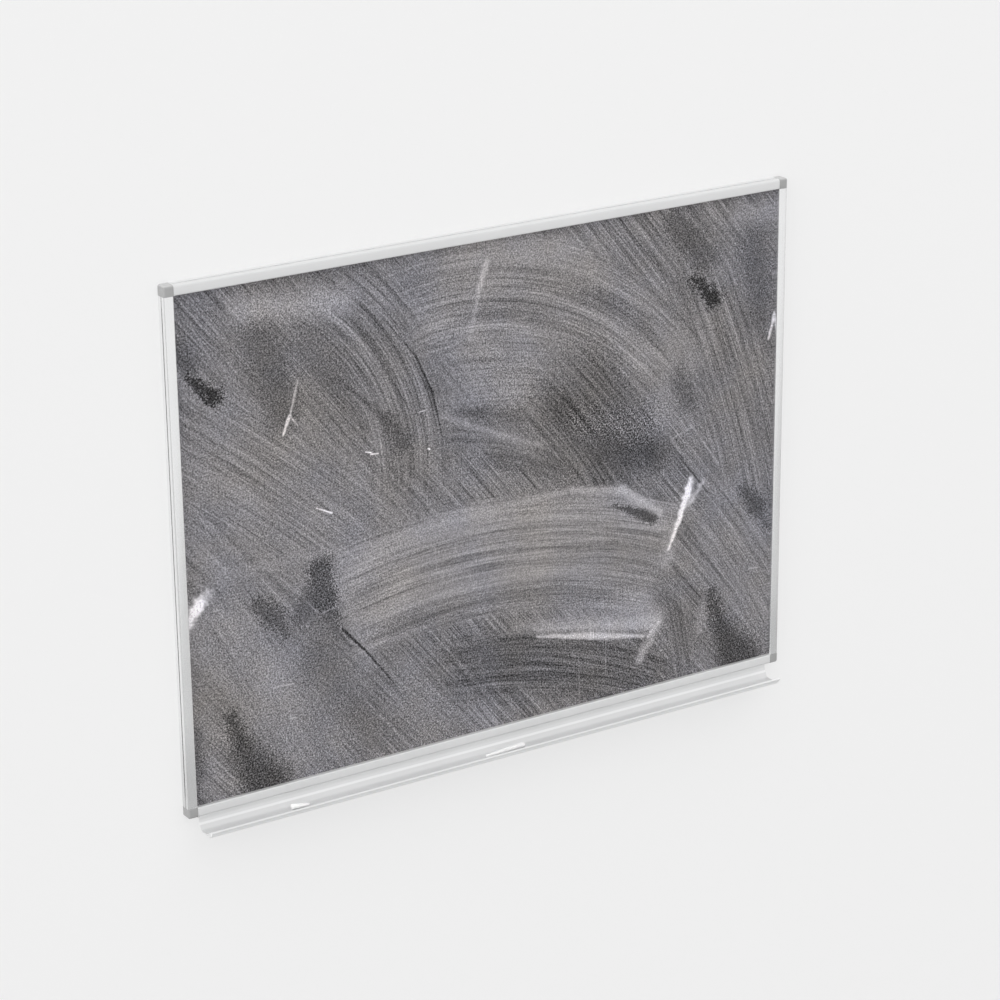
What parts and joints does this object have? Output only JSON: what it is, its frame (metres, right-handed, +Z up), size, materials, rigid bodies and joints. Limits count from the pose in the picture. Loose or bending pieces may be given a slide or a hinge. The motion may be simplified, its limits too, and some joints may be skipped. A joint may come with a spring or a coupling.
{
  "type": "wall-mounted chalkboard",
  "caption": "Wall-hung chalkboard: painted steel writing panel in an aluminium frame with moulded corners and a chalk tray holding chalk.",
  "frame": {"origin": "the middle of the top rail's back face, on the wall plane and half the back flange's width below the board's top edge", "axes": "+X to the right as the writer sees the board, +Y out of the back towards the wall, +Z up"},
  "size_m": [1.2, 0.0669, 0.9221],
  "materials": {
    "slate_paint": "matt writing enamel with wiped chalk dust",
    "fibreboard": "raw pressed fibre",
    "galvanised_steel": "dull zinc coating",
    "anodised_aluminium": "satin clear anodising",
    "grey_plastic": "fine moulded satin",
    "zinc_plated_steel": "bright zinc",
    "white_chalk": "dry and powdery"
  },
  "bodies": {
    "board": {"writing_sheet": "slate_paint", "core_board": "fibreboard", "back_sheet": "galvanised_steel", "top_rail": "anodised_aluminium", "bottom_rail": "anodised_aluminium", "left_rail": "anodised_aluminium", "right_rail": "anodised_aluminium", "bottom_left_connector": "grey_plastic", "top_left_connector": "grey_plastic", "top_right_connector": "grey_plastic", "bottom_right_connector": "grey_plastic", "bottom_left_cap": "grey_plastic", "top_left_cap": "grey_plastic", "top_right_cap": "grey_plastic", "bottom_right_cap": "grey_plastic", "left_rail_lock_screw": "zinc_plated_steel", "right_rail_lock_screw": "zinc_plated_steel", "top_rail_lock_screw": "zinc_plated_steel", "bottom_rail_lock_screw": "zinc_plated_steel", "chalk_tray": "anodised_aluminium", "tray_screw_1": "zinc_plated_steel", "tray_screw_2": "zinc_plated_steel", "tray_screw_3": "zinc_plated_steel", "tray_screw_4": "zinc_plated_steel"},
    "long_chalk": {"chalk_long": "white_chalk"},
    "short_chalk": {"chalk_short": "white_chalk"}
  },
  "joints": [
    {"name": "long_chalk_lift", "type": "slide", "parent": "board", "child": "long_chalk", "axis": [0, 0, 1], "range_m": [0, 0.15]},
    {"name": "short_chalk_lift", "type": "slide", "parent": "board", "child": "short_chalk", "axis": [0, 0, 1], "range_m": [0, 0.15]}
  ]
}
